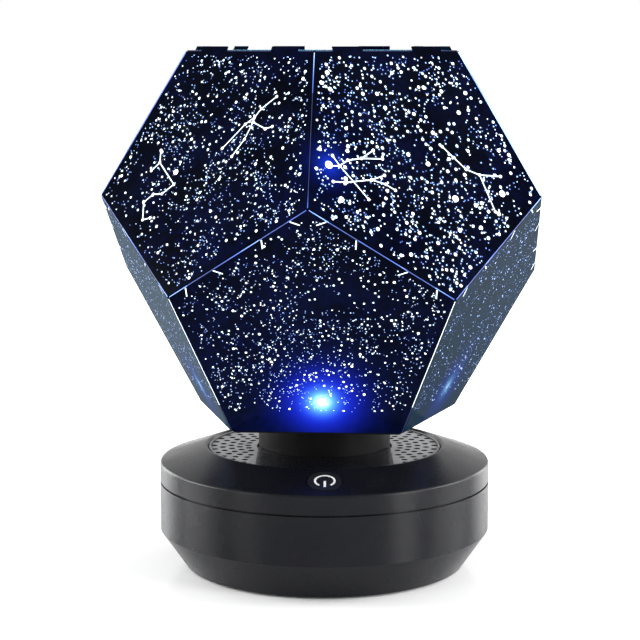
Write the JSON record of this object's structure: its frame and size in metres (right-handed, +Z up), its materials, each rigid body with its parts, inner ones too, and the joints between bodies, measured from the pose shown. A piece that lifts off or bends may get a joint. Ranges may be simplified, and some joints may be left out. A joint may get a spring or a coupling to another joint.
{
  "type": "planetarium projector",
  "caption": "Star projector with a lit twelve-sided shade of printed film panels, turning on a round speaker base with a power key.",
  "frame": {"origin": "on the resting surface under the middle of the round base, at the middle of the rubber pad's face", "axes": "+Z up along the axis that the shade turns on, -Y to the front where the power key is, +X to the right seen from the front"},
  "size_m": [0.1732, 0.178, 0.2085],
  "materials": {
    "casing_black": "satin",
    "cover_black": "matte",
    "pad_rubber": "matte",
    "screw_steel": "satin",
    "grille_grey": "satin",
    "speaker_frame_black": "matte",
    "cone_paper": "matte",
    "magnet_steel": "satin",
    "column_grey": "matte",
    "washer_ivory": "matte",
    "clip_steel": "satin",
    "lamp_board_white": "satin",
    "lamp_body_white": "matte",
    "lamp_clear": "clear",
    "motor_steel": "satin",
    "shaft_steel": "polished",
    "gear_white": "satin",
    "turntable_black": "satin",
    "key_black": "satin",
    "plunger_black": "matte",
    "switch_steel": "satin",
    "board_green": "satin",
    "chip_black": "matte",
    "capacitor_metal": "satin",
    "socket_ivory": "matte",
    "holder_black": "matte",
    "cell_blue": "gloss",
    "contact_steel": "satin",
    "port_steel": "satin",
    "cup_black": "satin",
    "film_print": "gloss"
  },
  "bodies": {
    "base": {"lower_casing": "casing_black", "upper_casing": "casing_black", "bottom_cover": "cover_black", "rubber_pad": "pad_rubber", "casing_screws": "screw_steel", "speaker_grille": "grille_grey", "speaker_frames": "speaker_frame_black", "speaker_cones": "cone_paper", "speaker_magnets": "magnet_steel", "speaker_screws": "screw_steel", "lamp_column": "column_grey", "column_screws": "screw_steel", "thrust_washer": "washer_ivory", "retaining_washer": "washer_ivory", "retaining_clip": "clip_steel", "lamp_board": "lamp_board_white", "lamp_body": "lamp_body_white", "lamp_dome": "lamp_clear", "motor": "motor_steel", "motor_screws": "screw_steel", "key_switch": "switch_steel", "key_board": "board_green", "key_board_screws": "screw_steel", "main_board": "board_green", "board_chips": "chip_black", "board_capacitors": "capacitor_metal", "wire_sockets": "socket_ivory", "main_board_screws": "screw_steel", "battery_holder": "holder_black", "battery_cell": "cell_blue", "battery_contacts": "contact_steel", "charge_board": "board_green", "charge_socket": "port_steel", "charge_board_screws": "screw_steel"},
    "turntable": {"turntable": "turntable_black", "hub_bushes": "washer_ivory", "drive_gear": "gear_white", "gear_screws": "screw_steel"},
    "pinion": {"motor_shaft": "shaft_steel", "motor_pinion": "gear_white"},
    "key": {"power_key": "key_black", "switch_plunger": "plunger_black"},
    "shade": {"shade_cup": "cup_black", "top_panel": "film_print", "upper_panel_1": "film_print", "upper_panel_2": "film_print", "upper_panel_3": "film_print", "upper_panel_4": "film_print", "upper_panel_5": "film_print", "lower_panel_1": "film_print", "lower_panel_2": "film_print", "lower_panel_3": "film_print", "lower_panel_4": "film_print", "lower_panel_5": "film_print"}
  },
  "joints": [
    {"name": "turntable_spin", "type": "hinge", "parent": "base", "child": "turntable", "pos_m": [0, 0, 0.04], "axis": [0, 0, 1], "continuous": true},
    {"name": "pinion_spin", "type": "hinge", "parent": "base", "child": "pinion", "pos_m": [0, 0.03, 0.03], "axis": [0, 0, 1], "continuous": true},
    {"name": "shade_lift", "type": "slide", "parent": "turntable", "child": "shade", "axis": [0, 0, 1], "range_m": [0, 0.06]},
    {"name": "key_press", "type": "slide", "parent": "base", "child": "key", "axis": [0, 0.3195, -0.9476], "range_m": [0, 0.0005], "stiffness_N_per_m": 1200, "springref_m": -0.0005}
  ],
  "couplings": [
    {"joint": "pinion_spin", "follows": "turntable_spin", "ratio": -4}
  ]
}
